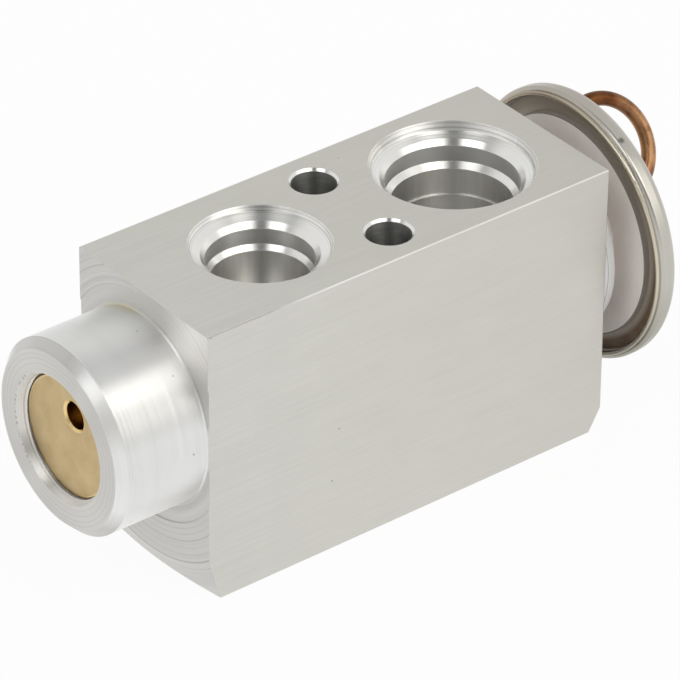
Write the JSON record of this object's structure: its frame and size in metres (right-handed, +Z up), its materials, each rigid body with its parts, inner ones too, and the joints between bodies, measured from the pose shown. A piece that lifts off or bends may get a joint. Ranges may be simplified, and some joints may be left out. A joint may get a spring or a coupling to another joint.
{
  "type": "thermostatic expansion valve",
  "caption": "Block-type thermostatic expansion valve: machined aluminium block with stepped ports and bolt holes, brass adjusting screw, diaphragm head and copper charge tube.",
  "frame": {"origin": "centre of the block's bottom face, at mid length and mid thickness", "axes": "+X along the valve axis, from the adjusting screw to the diaphragm head; +Y through the block's thickness; +Z up, towards the face with the liquid inlet and the suction outlet"},
  "size_m": [0.1114, 0.0422, 0.047],
  "materials": {
    "block_aluminium": "machined bar, brushed along its length, turned ends and boss",
    "plug_brass": "turned brass, dull from handling",
    "spring_steel": "drawn wire and strip, light oil",
    "turned_steel": "fine turned steel",
    "ball_steel": "polished",
    "rubber_black": "moulded, matt",
    "flange_steel": "flat steel, satin, warm tint",
    "shell_stainless": "pressed stainless, straw and brown heat tint by the rim weld",
    "diaphragm_stainless": "thin rolled stainless",
    "tube_copper": "drawn copper, lightly browned",
    "ferrule_brass": "brazed bush"
  },
  "bodies": {
    "valve_block": {"valve_body": "block_aluminium", "orifice_seat": "plug_brass", "rod_seal": "rubber_black", "rod_seal_washer": "turned_steel", "rod_seal_retainer": "spring_steel", "head_seal": "rubber_black", "head_neck": "flange_steel", "head_lower_shell": "shell_stainless", "head_upper_shell": "shell_stainless", "diaphragm": "diaphragm_stainless", "charge_tube": "tube_copper", "tube_ferrule": "ferrule_brass", "superheat_spring": "spring_steel"},
    "screw_carriage": {"adjusting_screw_seal": "rubber_black"},
    "adjusting_screw": {"adjusting_screw": "plug_brass"},
    "valve_train": {"push_rod": "turned_steel", "thrust_pad": "turned_steel", "valve_ball": "ball_steel", "ball_carrier": "turned_steel", "damper_spring": "spring_steel"}
  },
  "joints": [
    {"name": "valve_opening", "type": "slide", "parent": "valve_block", "child": "valve_train", "axis": [-1, 0, 0], "range_m": [0, 0.0008], "stiffness_N_per_m": 12000, "springref_m": -0.005, "deforming": ["superheat_spring", "diaphragm"]},
    {"name": "adjusting_screw_travel", "type": "slide", "parent": "valve_block", "child": "screw_carriage", "axis": [1, 0, 0], "range_m": [-0.001, 0.001], "deforming": ["superheat_spring"]},
    {"name": "adjusting_screw_turn", "type": "hinge", "parent": "screw_carriage", "child": "adjusting_screw", "pos_m": [-0.0491, 0, 0.0259], "axis": [1, 0, 0], "range_deg": [-360.5, 360.5], "deforming": ["superheat_spring"]}
  ],
  "couplings": [
    {"joint": "adjusting_screw_turn", "follows": "adjusting_screw_travel", "rad_per_m": 6283.2}
  ]
}
